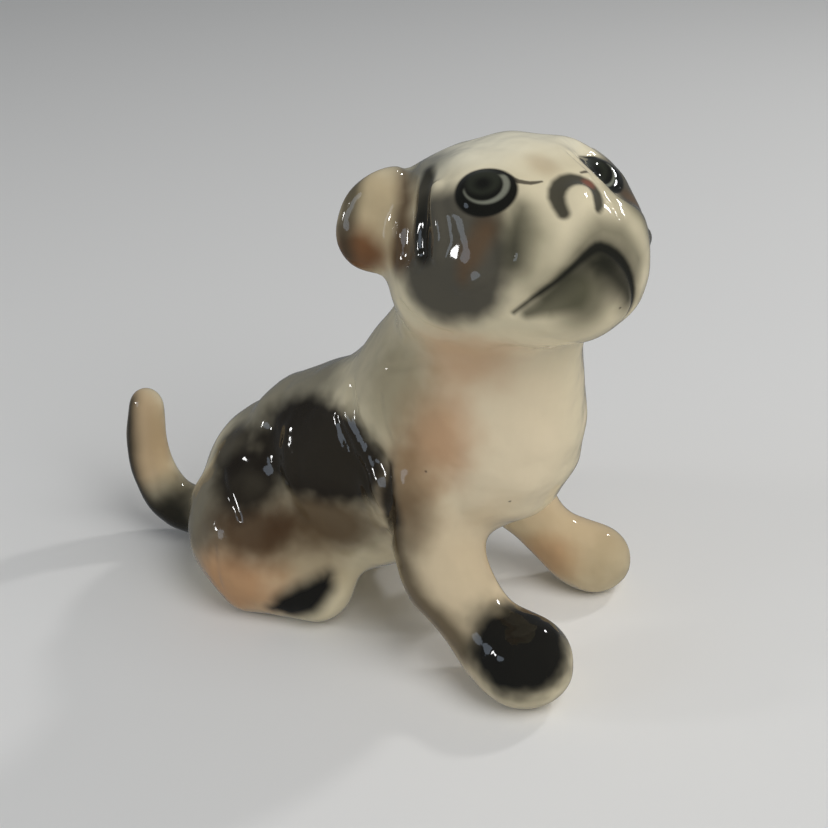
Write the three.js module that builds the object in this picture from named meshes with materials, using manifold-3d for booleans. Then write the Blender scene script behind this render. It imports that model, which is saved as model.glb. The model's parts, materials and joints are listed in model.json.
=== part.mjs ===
// A sitting puppy in slip-cast porcelain, in millimetres, +Z up. It faces -Y, and its right side is at -X.
// Its clay pieces are cast or pressed one by one and luted together with slip before the firing:
// torso, head, two ears, two forelegs, two hind legs and a tail.
import * as THREE from "three";
import { mergeVertices } from "three/addons/utils/BufferGeometryUtils.js";
import Module from "manifold-3d";

const wasm = await Module();
wasm.setup();

// ---------------------------------------------------------------- driving dimensions
const WALL = 3.0; // thickness of the cast wall round the hollow
const JOINT_GAP = 0.3; // slip line left between two luted pieces
const FOOT_LEVEL = 0.0; // the surface that the figure stands on
const VENT = 2.6; // diameter of the firing vent under the belly
const NECK_BORE = 12; // diameter of the passage between the two hollows

// ---------------------------------------------------------------- clay: rounded masses and how they blend
const V = (x, y, z) => new THREE.Vector3(x, y, z);
const mirror = (side, v) => V(side * v.x, v.y, v.z); // side is 1 on the dog's left and -1 on its right
const VENT_AT = V(0, 6, 6);
const NECK_LINE = [V(0, -11, 36), V(-0.8, -13, 58)];

// An egg: an ellipsoid at c with radii r, turned by Euler angles in degrees.
function egg(c, r, turn = [0, 0, 0]) {
  const q = new THREE.Quaternion()
    .setFromEuler(new THREE.Euler(...turn.map(THREE.MathUtils.degToRad)))
    .invert();
  const p = V(0, 0, 0);
  return (point) => {
    p.copy(point).sub(c).applyQuaternion(q);
    const k0 = Math.hypot(p.x / r.x, p.y / r.y, p.z / r.z);
    const k1 = Math.hypot(p.x / r.x ** 2, p.y / r.y ** 2, p.z / r.z ** 2);
    return k1 < 1e-9 ? -Math.min(r.x, r.y, r.z) : (k0 * (k0 - 1)) / k1;
  };
}

// A limb segment: a straight taper with round ends, radius ra at a and rb at b.
function segment(a, b, ra, rb) {
  const axis = b.clone().sub(a);
  const length2 = axis.lengthSq();
  const p = V(0, 0, 0);
  return (point) => {
    p.copy(point).sub(a);
    const t = THREE.MathUtils.clamp(p.dot(axis) / length2, 0, 1);
    return p.addScaledVector(axis, -t).length() - (ra + (rb - ra) * t);
  };
}

// Masses pressed together, with a fillet about k wide between them.
function blend(k, ...masses) {
  return (point) => {
    let d = masses[0](point);
    for (let i = 1; i < masses.length; i++) {
      const e = masses[i](point);
      const h = Math.max(k - Math.abs(d - e), 0) / k;
      d = Math.min(d, e) - (h * h * k) / 4;
    }
    return d;
  };
}

// ---------------------------------------------------------------- skin: a closed mesh on a mass's surface
// A sphere's rings are spread along a spine, and each vertex moves out from it until it meets the surface.
// A spine of one point keeps the plain sphere round that point.
const MARCH_STEPS = 60;
const MARCH_STRIDE = 0.9;
const CLOSE_ENOUGH = 1e-4;
const CAP_ANGLE = Math.PI / 4; // the rings nearer to a pole than this fan out round the spine's end

function skin(mass, spine, around, along, level = 0) {
  const curve = spine.length > 1 ? new THREE.CatmullRomCurve3(spine) : null;
  const ball = new THREE.SphereGeometry(1, around, along);
  ball.deleteAttribute("normal");
  ball.deleteAttribute("uv");
  const geometry = mergeVertices(ball, CLOSE_ENOUGH);
  const at = geometry.getAttribute("position");
  const from = spine[0].clone();
  const dir = V(0, 0, 0);
  const p = V(0, 0, 0);
  for (let i = 0; i < at.count; i++) {
    dir.fromBufferAttribute(at, i);
    if (curve) {
      const ring = Math.acos(THREE.MathUtils.clamp(dir.y, -1, 1)); // 0 at the spine's end, pi at its start
      const turn = Math.atan2(dir.z, dir.x);
      const t = THREE.MathUtils.clamp((Math.PI - CAP_ANGLE - ring) / (Math.PI - 2 * CAP_ANGLE), 0, 1);
      const fromPole = Math.min(ring, Math.PI - ring, CAP_ANGLE) / CAP_ANGLE;
      const lean = Math.cos((fromPole * Math.PI) / 2) * (ring < Math.PI / 2 ? 1 : -1);
      const out = Math.sqrt(Math.max(0, 1 - lean * lean));
      const tangent = curve.getTangentAt(t);
      const up = V(1, 0, 0).cross(tangent).normalize();
      const across = tangent.clone().cross(up);
      from.copy(curve.getPointAt(t));
      dir
        .copy(tangent)
        .multiplyScalar(lean)
        .addScaledVector(across, out * Math.cos(turn))
        .addScaledVector(up, out * Math.sin(turn));
    }
    let reach = 0;
    for (let step = 0; step < MARCH_STEPS; step++) {
      const gap = level - mass(p.copy(from).addScaledVector(dir, reach));
      reach += gap * MARCH_STRIDE;
      if (Math.abs(gap) < CLOSE_ENOUGH) break;
    }
    p.copy(from).addScaledVector(dir, reach);
    at.setXYZ(i, p.x, p.y, p.z);
  }
  return solid(geometry);
}

// ---------------------------------------------------------------- joins and cuts
function solid(geometry) {
  return new wasm.Manifold(
    new wasm.Mesh({
      numProp: 3,
      vertProperties: geometry.getAttribute("position").array,
      triVerts: new Uint32Array(geometry.index.array),
    }),
  );
}

function geometryOf(s) {
  const m = s.getMesh();
  const xyz = new Float32Array(m.numVert * 3);
  for (let i = 0; i < m.numVert; i++) {
    xyz.set(m.vertProperties.subarray(i * m.numProp, i * m.numProp + 3), i * 3);
  }
  const g = new THREE.BufferGeometry();
  g.setAttribute("position", new THREE.BufferAttribute(xyz, 3));
  g.setIndex(new THREE.BufferAttribute(m.triVerts, 1));
  g.computeVertexNormals();
  return g;
}

// A three.js geometry as a cutter, moved to its place.
function cutter(geometry, at) {
  geometry.translate(at.x, at.y, at.z);
  geometry.deleteAttribute("normal");
  geometry.deleteAttribute("uv");
  return solid(mergeVertices(geometry, CLOSE_ENOUGH));
}

// ---------------------------------------------------------------- torso: rump, barrel, chest and neck
const torsoMass = blend(
  7,
  egg(V(0, 19.6, 12), V(13.3, 12.4, 12.8)), // rump
  egg(V(0, 4.8, 23.4), V(11.6, 17, 11.6), [-37, 0, 0]), // back
  egg(V(0, 4.5, 14.2), V(11.2, 10.5, 8.8)), // belly
  egg(V(0, -10.5, 29.2), V(12.9, 13, 13.8)), // chest
  egg(V(0, -3, 31.6), V(8.6, 8.6, 9)), // withers
  segment(V(0, -9.5, 38), V(-0.3, -12.8, 50), 12, 11), // neck
);
const torsoSpine = [V(0, 19, 12), V(0, 9, 20.5), V(0, -6, 29), V(0, -11, 38), V(0, -12.5, 48)];

// ---------------------------------------------------------------- head, made facing -Y round its own centre
const HEAD_AT = V(-1, -13, 59);
const HEAD_TURN = [-20, 0, -30]; // looking up, and to its own right
const headPose = new THREE.Matrix4()
  .makeRotationFromEuler(new THREE.Euler(...HEAD_TURN.map(THREE.MathUtils.degToRad), "ZXY"))
  .setPosition(HEAD_AT);
const headPoint = (v) => v.clone().applyMatrix4(headPose);
function onHead(mass) {
  const toHead = headPose.clone().invert();
  const p = V(0, 0, 0);
  return (point) => mass(p.copy(point).applyMatrix4(toHead));
}
const headMass = onHead(
  blend(
    5,
    egg(V(0, 1, -1.3), V(14, 13.5, 11.4)), // skull
    egg(V(-8, 0, -7.4), V(6.5, 8.5, 6)), // right cheek
    egg(V(8, 0, -7.4), V(6.5, 8.5, 6)), // left cheek
    egg(V(0, -8, -4), V(11.5, 9.4, 8)), // muzzle
    egg(V(6.6, -6.4, 1.8), V(4.2, 4, 4.2)), // left brow
    egg(V(-6.6, -6.2, 1.6), V(4.2, 4, 4.2)), // right brow
    egg(V(0, -11, -8.6), V(8.3, 6.7, 5.8)), // chin
  ),
);
const EAR_AT = V(11.7, 6.9, 2.0);
const earMass = (side) => onHead(egg(mirror(side, EAR_AT), V(7.1, 3.2, 6.1), [0, side * 40, side * 25]));

// ---------------------------------------------------------------- legs and tail
const hindMass = (side) =>
  blend(
    3,
    egg(mirror(side, V(8.8, 19.8, 8.5)), V(8.9, 10.1, 9.5)), // haunch
    segment(mirror(side, V(11.2, 16.8, 6)), mirror(side, V(11.6, 8.6, 4.9)), 7.4, 5), // foot
  );
const hindSpine = (side) => [mirror(side, V(9, 20, 8)), mirror(side, V(11, 9.6, 4))];

// A foreleg is an upper leg, a lower leg and a paw. They are rolled by hand, so one came out slimmer.
const foreMass = (side, thick) =>
  blend(
    3,
    segment(mirror(side, V(9.5, -5.7, 23.6)), mirror(side, V(11, -10.6, 13)), 5.6 * thick, 5 * thick),
    segment(mirror(side, V(11, -10.6, 13)), mirror(side, V(12, -17.4, 6.2)), 5 * thick, 4.8 * thick),
    egg(mirror(side, V(13.4, -16.4 - 6.5 * thick, 5.2 * thick)), V(6.3, 6.8, 6.1).multiplyScalar(thick)),
  );
const foreSpine = (side) => [
  mirror(side, V(9.5, -5.6, 23.4)),
  mirror(side, V(11, -10.2, 13)),
  mirror(side, V(13.2, -21.2, 4.8)),
];

// The tail runs out along the ground and curls up.
const tailLine = new THREE.CatmullRomCurve3([
  V(-1, 29, 6),
  V(-3, 35.2, 4.3),
  V(-4, 39, 6.2),
  V(-4, 41.5, 10.4),
  V(-3.5, 42.6, 15),
  V(-3, 42.4, 20.2),
]);
const TAIL_ROOT = 4; // radius where it leaves the body
const TAIL_TIP = 2.6; // radius at its round end
const TAIL_STEPS = 16;
const tailSpine = tailLine.getSpacedPoints(TAIL_STEPS);
const tailRadius = (i) => THREE.MathUtils.lerp(TAIL_ROOT, TAIL_TIP, i / TAIL_STEPS);
const tailParts = tailSpine
  .slice(1)
  .map((end, i) => segment(tailSpine[i], end, tailRadius(i), tailRadius(i + 1)));
const tailMass = blend(0.5, ...tailParts);

// ---------------------------------------------------------------- pieces
const figure = new THREE.Group();

function add(name, s, color) {
  const glazed = new THREE.MeshStandardMaterial({ color, roughness: 0.12, metalness: 0 });
  const mesh = new THREE.Mesh(geometryOf(s), glazed);
  mesh.name = name;
  figure.add(mesh);
}

const GROUND_SIZE = 160;
const ground = cutter(
  new THREE.BoxGeometry(GROUND_SIZE, GROUND_SIZE, GROUND_SIZE),
  V(0, 0, FOOT_LEVEL - GROUND_SIZE / 2),
);
const ventHole = cutter(
  new THREE.CylinderGeometry(VENT / 2, VENT / 2, 3 * WALL, 16).rotateX(Math.PI / 2),
  VENT_AT,
);
const passage = skin(segment(NECK_LINE[0], NECK_LINE[1], NECK_BORE / 2, NECK_BORE / 2), NECK_LINE, 16, 8);
// what the pieces luted to the torso and to the head leave free
const torsoRoom = skin(torsoMass, torsoSpine, 32, 26, JOINT_GAP);
const headRoom = skin(headMass, [HEAD_AT], 32, 24, JOINT_GAP);

const torso = skin(torsoMass, torsoSpine, 36, 30)
  .subtract(skin(torsoMass, torsoSpine, 16, 16, -WALL))
  .subtract(passage)
  .subtract(ventHole)
  .subtract(ground);
add("torso", torso, 0xc5b399);

const head = skin(headMass, [HEAD_AT], 36, 26)
  .subtract(skin(headMass, [HEAD_AT], 16, 12, -WALL))
  .subtract(torsoRoom)
  .subtract(passage);
add("head", head, 0xd4cbae);

for (const [hand, side, thick] of [["right", -1, 1], ["left", 1, 0.82]]) {
  const foreleg = skin(foreMass(side, thick), foreSpine(side), 20, 20).subtract(torsoRoom).subtract(ground);
  const hindLeg = skin(hindMass(side), hindSpine(side), 24, 18).subtract(torsoRoom).subtract(ground);
  const ear = skin(earMass(side), [headPoint(mirror(side, EAR_AT))], 18, 12).subtract(headRoom);
  add(`${hand}_foreleg`, foreleg, 0xd0bfa7);
  add(`${hand}_hind_leg`, hindLeg, 0x9a7d5c);
  add(`${hand}_ear`, ear, 0x9d9072);
}
const tail = skin(tailMass, tailSpine, 12, 24).subtract(torsoRoom);
add("tail", tail, 0xb49979);

// The origin is on the ground, under the middle of the figure.
const box = new THREE.Box3().setFromObject(figure);
figure.position.set(-(box.min.x + box.max.x) / 2, -(box.min.y + box.max.y) / 2, -FOOT_LEVEL);

export default figure;
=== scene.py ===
# %% [markdown]
# # A glazed porcelain puppy
# The real figurine is made of nine clay pieces: a hollow torso and head, two ears, four legs and a tail.
# They are luted together with wet slip, smoothed over, painted with an airbrush and a fine brush, and
# fired under a clear glaze, which runs over every join and rounds every edge. This lesson does the same
# in the same order: it reads the pieces from the fixed frame, fuses them as one clay body, models the
# face, parts the skin again at the joins so that each piece stays an object of its own, and then paints
# and glazes it.

# %% Load the fixed frame
import json
import math

import bpy
import numpy as np
import openvdb
from mathutils import Matrix, Vector

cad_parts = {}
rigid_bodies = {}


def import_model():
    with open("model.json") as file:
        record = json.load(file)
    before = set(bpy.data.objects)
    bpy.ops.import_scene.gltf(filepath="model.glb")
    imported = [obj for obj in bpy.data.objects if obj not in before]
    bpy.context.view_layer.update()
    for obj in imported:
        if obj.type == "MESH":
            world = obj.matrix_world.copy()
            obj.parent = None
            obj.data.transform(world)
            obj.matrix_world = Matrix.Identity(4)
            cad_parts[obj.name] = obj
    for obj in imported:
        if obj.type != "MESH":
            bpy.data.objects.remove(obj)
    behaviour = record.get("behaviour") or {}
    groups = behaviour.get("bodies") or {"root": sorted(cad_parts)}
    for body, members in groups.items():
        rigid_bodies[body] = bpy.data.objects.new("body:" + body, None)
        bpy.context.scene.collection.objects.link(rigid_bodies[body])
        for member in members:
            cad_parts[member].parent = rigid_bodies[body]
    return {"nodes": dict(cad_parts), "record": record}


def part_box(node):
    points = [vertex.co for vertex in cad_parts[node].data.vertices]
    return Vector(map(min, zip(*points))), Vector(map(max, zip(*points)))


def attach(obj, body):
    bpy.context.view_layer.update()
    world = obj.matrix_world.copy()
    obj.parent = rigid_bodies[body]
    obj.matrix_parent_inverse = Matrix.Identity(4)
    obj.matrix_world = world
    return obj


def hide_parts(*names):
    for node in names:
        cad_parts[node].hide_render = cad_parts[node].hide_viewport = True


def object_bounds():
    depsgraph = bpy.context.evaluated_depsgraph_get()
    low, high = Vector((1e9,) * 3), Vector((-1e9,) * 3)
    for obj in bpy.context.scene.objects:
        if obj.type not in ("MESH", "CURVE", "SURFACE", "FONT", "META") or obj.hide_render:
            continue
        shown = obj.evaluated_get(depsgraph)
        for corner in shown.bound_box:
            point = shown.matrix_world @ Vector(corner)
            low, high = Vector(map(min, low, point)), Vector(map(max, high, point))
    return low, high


for leftover in list(bpy.data.objects):  # Blender's startup cube, lamp and camera
    bpy.data.objects.remove(leftover)
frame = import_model()
CAD_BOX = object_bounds()
print("pieces:", ", ".join(sorted(frame["nodes"])))

# %% [markdown]
# ## The camera
# A small ornament is looked at from close by, so the perspective is strong: the paw that points at us is
# clearly larger than the far one. The camera stands to the puppy's right and a little above it. It comes
# first, so that every later step can be judged through it.

# %% Aim the camera at the middle of the figure
MM = 0.001  # everything below is worked out in millimetres and turned into metres at the end
VIEW_AZIMUTH = math.radians(-62)
VIEW_ELEVATION = math.radians(28)
VIEW_DISTANCE = 190
SENSOR = 36
LENS = 62.6
FRAME_SHIFT = (0.0024, -0.029)  # puts the figure a little off the middle, without turning the camera
NEAREST = 0.01  # metres, close enough not to clip a paw
BODY_LOW, BODY_HIGH = (np.array(corner) / MM for corner in CAD_BOX)
AIM = Vector((0.33, -6.76, 0.4624 * BODY_HIGH[2]))

back = Vector((
    math.sin(VIEW_AZIMUTH) * math.cos(VIEW_ELEVATION),
    -math.cos(VIEW_AZIMUTH) * math.cos(VIEW_ELEVATION),
    math.sin(VIEW_ELEVATION),
))
camera = bpy.data.objects.new("camera", bpy.data.cameras.new("camera"))
camera.data.sensor_width = SENSOR
camera.data.lens = LENS
camera.data.shift_x, camera.data.shift_y = FRAME_SHIFT
camera.data.clip_start = NEAREST
camera.location = (AIM + back * VIEW_DISTANCE) * MM
camera.rotation_euler = (-back).to_track_quat("-Z", "Y").to_euler()
bpy.context.scene.collection.objects.link(camera)
bpy.context.scene.camera = camera
print("camera stands at", [round(c, 4) for c in camera.location])

# %% [markdown]
# ## Clay as a distance field
# Blender's modifiers could join and smooth the pieces as meshes, but every fillet would then be a fight
# with edges. A distance field is closer to clay. It is a 3-D grid of numbers, each the distance to the
# surface, negative inside. Pressing two lumps together is a soft minimum, smoothing is a blur, and
# scraping a groove is a local addition. OpenVDB, which comes with Blender, turns each CAD piece into such
# a grid.

# %% A grid round the whole figure
FINE = 0.3  # mm between grid points of the finished skin
COARSE = 2 * FINE  # the masses are smooth, so they need half as many
BAND = 10  # how many coarse steps the distances reach to either side of a surface
MARGIN = 6
GRID_LOW = np.floor(BODY_LOW / COARSE).astype(int) - MARGIN
GRID_HIGH = np.ceil(BODY_HIGH / COARSE).astype(int) + MARGIN
GRID_SHAPE = tuple(int(n) for n in GRID_HIGH - GRID_LOW + 1)
print("coarse grid", GRID_SHAPE, "at", COARSE, "mm")


# %% From a CAD piece to its distances
def corners_and_triangles(obj):
    """The mesh of a piece as arrays: points in mm, and triangles."""
    mesh = obj.data
    points = np.empty(len(mesh.vertices) * 3, np.float32)
    mesh.vertices.foreach_get("co", points)
    mesh.calc_loop_triangles()
    triangles = np.empty(len(mesh.loop_triangles) * 3, np.int32)
    mesh.loop_triangles.foreach_get("vertices", triangles)
    return (points.reshape(-1, 3) / MM).astype(np.float32), triangles.reshape(-1, 3).astype(np.uint32)


def clay(node):
    """The distance to a CAD piece on the coarse grid, in mm."""
    points, triangles = corners_and_triangles(frame["nodes"][node])
    grid = openvdb.FloatGrid.createLevelSetFromPolygons(
        points,
        triangles=triangles,
        transform=openvdb.createLinearTransform(voxelSize=COARSE),
        halfWidth=BAND,
    )
    distance = np.empty(GRID_SHAPE, np.float32)
    grid.copyToArray(distance, ijk=tuple(int(n) for n in GRID_LOW))
    return distance


lump = {name: clay(name) for name in sorted(frame["nodes"])}
print("read", len(lump), "lumps of clay")

# %% [markdown]
# ## Luting the pieces together
# The potter wets both faces, presses them together and wipes the slip into a fillet. The soft minimum
# does that: where two distances are nearly equal it takes a little more away, so the surface runs across
# in a curve. Its reach is wide where the limbs flow out of the body, and narrow where an ear meets the
# head.


# %% The soft minimum
def press(a, b, reach):
    """Two lumps pressed together, with a fillet about reach mm wide."""
    near = np.maximum(reach - np.abs(a - b), 0) / reach
    return np.minimum(a, b) - near * near * reach / 4


EAR_FILLET = 1.8
LEG_FILLET = 4.5
NECK_FILLET = 5.0
TAIL_FILLET = 3.0
head = press(press(lump["head"], lump["right_ear"], EAR_FILLET), lump["left_ear"], EAR_FILLET)
body = lump["torso"]
for leg in ("right_foreleg", "left_foreleg", "right_hind_leg", "left_hind_leg"):
    body = press(body, lump[leg], LEG_FILLET)
body = press(body, lump["tail"], TAIL_FILLET)
figure = press(body, head, NECK_FILLET)
print("pressed together, deepest point", round(float(figure.min()), 2), "mm")

# %% [markdown]
# ## Filling the casting hollow
# Nobody sees the inside of a sealed figurine, so the skin is made as the outside of a full body. The
# hollow is found the way water would find it: flood the free space from the outside, and whatever free
# space stays dry is inside.

# %% Flood from outside and fill what stays dry
STRIDE = 2
TIGHT = 1.4  # mm: the flood doesn't pass a hole narrower than twice this
INTO_WALL = 3.6  # mm that the filling reaches past the hollow, through the wall's inner face
FILL_STEPS = round(INTO_WALL / (STRIDE * COARSE))
DEEP = 3.0  # mm, the depth that the filled clay is given


def spread(mask):
    """The mask grown by one step along each axis."""
    grown = mask.copy()
    grown[1:] |= mask[:-1]
    grown[:-1] |= mask[1:]
    grown[:, 1:] |= mask[:, :-1]
    grown[:, :-1] |= mask[:, 1:]
    grown[:, :, 1:] |= mask[:, :, :-1]
    grown[:, :, :-1] |= mask[:, :, 1:]
    return grown


free = figure[::STRIDE, ::STRIDE, ::STRIDE] > TIGHT
wet = np.zeros_like(free)
wet[0] = free[0]
while True:
    wetter = spread(wet) & free
    if (wetter == wet).all():
        break
    wet = wetter
dry = free & ~wet
for _ in range(FILL_STEPS):
    dry = spread(dry)
for axis in range(3):
    dry = dry.repeat(STRIDE, axis)
dry = dry[: GRID_SHAPE[0], : GRID_SHAPE[1], : GRID_SHAPE[2]]
figure = np.where(dry, -DEEP, figure)
print("filled the hollow:", int(dry.sum() * COARSE**3), "cubic mm")

# %% [markdown]
# ## Wiping the clay smooth
# A CAD piece is faceted, and glaze would show each facet as a kink in a reflection. A Gaussian blur wipes
# them away, but it also shrinks thin limbs. Blurring twice and taking the second from twice the first
# gives the size back.

# %% Blur, and give the size back
WIPE = 1.0  # mm, the blur's radius


def blurred(field, radius):
    """The field after a Gaussian blur with a radius in grid steps."""
    reach = math.ceil(3 * radius)
    weights = np.exp(-0.5 * (np.arange(-reach, reach + 1) / radius) ** 2)
    weights /= weights.sum()
    for axis in range(3):
        padded = np.pad(field, [(reach, reach) if a == axis else (0, 0) for a in range(3)], "edge")
        count = field.shape[axis]
        field = sum(w * padded.take(range(i, i + count), axis) for i, w in enumerate(weights))
    return field.astype(np.float32)


once = blurred(figure, WIPE / COARSE)
figure = 2 * once - blurred(once, WIPE / COARSE)
print("wiped with a radius of", WIPE, "mm")


# %% Twice as many grid points for the fine modelling
def finer(field):
    """The same field on a grid twice as fine, with a cubic curve through the points."""
    for axis in range(3):
        f = np.moveaxis(field, axis, 0)
        outer = np.pad(f, [(1, 1), (0, 0), (0, 0)], "edge")
        between = (9 * (f[:-1] + f[1:]) - outer[:-3] - outer[3:]) / 16
        both = np.empty((2 * len(f) - 1,) + f.shape[1:], np.float32)
        both[::2] = f
        both[1::2] = between
        field = np.moveaxis(both, 0, axis)
    return np.ascontiguousarray(field)


figure = finer(figure)
FINE_LOW = GRID_LOW * 2
print("fine grid", figure.shape, "at", FINE, "mm")

# %% [markdown]
# ## Modelling tools
# The rest of the shape is done by hand on the wet clay: a thumb raises or hollows a place, a wet sponge
# wipes it smooth, and a round wooden tool draws a groove. Each changes the distances near one place only
# and fades out round it, so none of them tears the surface.


# %% Reading the field between its grid points
TINY = 1e-9  # keeps a division safe where the field is flat
PULLS = 6  # how often a point is pulled towards the surface until it lies on it


def at(field, points):
    """The fine field's value at points in mm, blended from the eight grid points round each."""
    place = points / FINE - FINE_LOW
    cell = np.clip(np.floor(place).astype(int), 0, np.array(field.shape) - 2)
    share = np.clip(place - cell, 0, 1)
    value = 0
    for corner in range(8):
        step = np.array([corner >> 2 & 1, corner >> 1 & 1, corner & 1])
        weight = np.where(step, share, 1 - share).prod(1)
        x, y, z = (cell + step).T
        value = value + weight * field[x, y, z]
    return value


def slope(field, points):
    """The unit vector out of the surface at each point."""
    steps = np.eye(3) * FINE
    rise = np.stack([at(field, points + s) - at(field, points - s) for s in steps], 1)
    return rise / np.maximum(np.linalg.norm(rise, axis=1, keepdims=True), TINY)


def onto(points):
    """The points moved straight onto the surface of the clay."""
    for _ in range(PULLS):
        points = points - slope(figure, points) * at(figure, points)[:, None]
    return points


# %% A smooth line through a few places
def curve(places, pieces):
    """A Catmull-Rom curve through the places, each stretch cut into pieces. Any extra columns run along."""
    p = np.asarray(places, float)
    p = np.vstack([2 * p[0] - p[1], p, 2 * p[-1] - p[-2]])
    line = []
    for a, b, c, d in zip(p[:-3], p[1:-2], p[2:-1], p[3:]):
        for t in np.arange(pieces) / pieces:
            line.append(
                b + t / 2 * (c - a) + t * t * (a - 2.5 * b + 2 * c - d / 2)
                + t**3 / 2 * (3 * (b - c) + d - a)
            )
    return np.array(line + [p[-2]])


# %% The thumb, the sponge and the round tool
TOOL_REACH = 2.5  # times its half-width, the round tool's dent has faded away


def block_round(points, reach):
    """The block of the grid within reach mm of some points, and the places of its grid points."""
    low = np.floor((points.min(0) - reach) / FINE).astype(int) - FINE_LOW
    high = np.ceil((points.max(0) + reach) / FINE).astype(int) - FINE_LOW
    low = np.maximum(low, 0)
    high = np.minimum(high, figure.shape)
    rows = [(np.arange(a, b) + first) * FINE for a, b, first in zip(low, high, FINE_LOW)]
    places = np.stack(np.meshgrid(*rows, indexing="ij"), -1).astype(np.float32)
    return tuple(slice(a, b) for a, b in zip(low, high)), places


def swell(centre, radii, rise, axes=np.eye(3)):
    """Raises the clay by rise mm at a place, fading out at the radii. A negative rise hollows it."""
    block, places = block_round(np.atleast_2d(centre), max(radii))
    away = ((places - centre) @ axes / radii) ** 2
    figure[block] -= rise * np.clip(1 - away.sum(-1), 0, 1) ** 2


def wipe(centre, radii, blur):
    """Wipes a place smooth with a wet sponge: a blur of so many mm that fades to nothing at the radii."""
    block, places = block_round(np.atleast_2d(centre), max(radii))
    away = (((places - centre) / radii) ** 2).sum(-1)
    figure[block] += np.clip(1 - away, 0, 1) * (blurred(figure[block], blur / FINE) - figure[block])


def groove(line, depth):
    """Draws the round tool along a line of (x, y, z, half-width). A negative depth leaves a ridge."""
    places_on = onto(line[:, :3])
    widths = line[:, 3]
    block, places = block_round(places_on, TOOL_REACH * widths.max())
    nearest = np.full(places.shape[:3], np.inf)
    for a, b, wide_a, wide_b in zip(places_on, places_on[1:], widths, widths[1:]):
        along = np.clip((places - a) @ (b - a) / max((b - a) @ (b - a), TINY), 0, 1)
        gap = np.linalg.norm(places - a - along[..., None] * (b - a), axis=-1)
        nearest = np.minimum(nearest, gap / (wide_a + (wide_b - wide_a) * along))
    figure[block] += depth * np.exp(-(nearest**2))


# %% The head's own frame
HEAD_CENTRE = np.array([-0.675, -19.755, 59.0])
HEAD_TILT = math.radians(-20)  # it looks up
HEAD_TURN = math.radians(-30)  # and towards its own right
HEAD_AXES = np.array(Matrix.Rotation(HEAD_TURN, 3, "Z") @ Matrix.Rotation(HEAD_TILT, 3, "X"))
MIDDLE = 0.325  # the body's plane of symmetry
SIDES = (1, -1)  # lines and places are given for the puppy's right side, and -1 mirrors them


def face(places, side=1):
    """Places on a head that looks along -Y from the origin, moved to where it looks now. Widths stay."""
    p = np.array(places, float)
    p[..., 0] *= side
    moved = p[..., :3] @ HEAD_AXES.T + HEAD_CENTRE
    return np.concatenate([moved, p[..., 3:]], -1)


def flank(places, side=1):
    """Places on the body, mirrored to the left side where side is -1."""
    p = np.array(places, float)
    if side < 0:
        p[..., 0] = 2 * MIDDLE - p[..., 0]
    return p


print("head at", HEAD_CENTRE, "mm")

# %% [markdown]
# ## The body
# The shoulder is a pad that stands over the flank with a deep crease behind it. Folds of loose puppy skin
# run down the flank and the rump. They matter most in the reflections: each fold bends the light into a
# bright rim.

# %% Shoulder, flank folds and haunch
SHOULDER_CREASE = [
    (-7.8, -2.1, 35, 0.8), (-10.8, -4.8, 31.4, 1.1), (-12.1, -7.8, 29.4, 1.2), (-13.9, -10.5, 27.1, 1.3),
    (-14.7, -11.3, 23.4, 1.3), (-13.6, -10.6, 19.6, 1.3), (-11.5, -9.4, 16.4, 1.0),
]
INNER_CREASE = [
    (-9.1, -0.9, 31.3, 0.5), (-10.9, -3.3, 28.7, 0.7), (-12.5, -6.8, 25.2, 0.7), (-13.7, -9.2, 21.9, 0.5),
]
FLANK_VALLEY = [
    (-6.9, 11.2, 24.9, 1.3), (-9.6, 9.7, 22, 2.0), (-11.5, 7.3, 18.8, 2.0), (-12.1, 3.6, 15.9, 1.2),
]
FLANK_RIDGE = [(-7.8, 7.6, 26.2, 1.0), (-9.9, 6.4, 23, 1.6), (-10.9, 5.2, 20.4, 1.6), (-11.7, 2.7, 18.0, 1.0)]
RUMP_CREASE = [
    (-11.0, 17.4, 18.9, 0.6), (-12.9, 15.4, 17.3, 0.9), (-14.1, 14, 16.4, 0.9), (-15.4, 11.6, 14.7, 0.6),
]
THIGH_CREASE = [(-17.4, 13.9, 11.2, 0.5), (-18, 13.5, 8.3, 0.7), (-18.1, 13.2, 5.5, 0.5)]
NECK_WRINKLES = [
    [(-11.3, -8.4, 36.9, 0.4), (-12.3, -9.7, 33.4, 0.5), (-12.8, -10.8, 31.8, 0.4)],
    [(-12.9, -11.6, 32.6, 0.4), (-13, -13.1, 35, 0.5), (-12.7, -13.4, 37.8, 0.4)],
    [(-10.3, -9.1, 40.5, 0.5), (-11.2, -12.8, 42.2, 0.5), (-11.6, -15.5, 43.5, 0.4)],
]
CREASES = [
    (SHOULDER_CREASE, 0.95), (INNER_CREASE, 0.4), (FLANK_VALLEY, 0.6),
    (FLANK_RIDGE, -0.4), (RUMP_CREASE, 0.6), (THIGH_CREASE, 0.3),
] + [(wrinkle, 0.22) for wrinkle in NECK_WRINKLES]  # each with its depth in mm; a ridge has a negative one
for side in SIDES:
    swell(flank((-13.5, -14.5, 26.0), side), (6, 6, 9), 0.6)  # shoulder pad
    swell(flank((-11, 1.5, 24), side), (6, 6, 6), 0.35)  # ribs
    swell(flank((-2.5, 10, 28), side), (6.5, 12, 6.5), 1.7)  # back
    swell(flank((-2.5, 4.5, 31), side), (6, 8, 6), 0.6)  # withers
    swell(flank((-3, 13.8, 26.2), side), (5, 5, 5), 0.5)  # loins
    swell(flank((-11.5, -1.5, 6.5), side), (5, 6, 5), 0.45)  # toes of the hind foot
    swell(flank((-16.8, 14, 11), side), (6, 7, 7), 0.4)  # thigh
    for line, depth in CREASES:
        groove(curve(flank(line, side), 3), depth)
print("body modelled with", len(CREASES), "creases a side")

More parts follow.
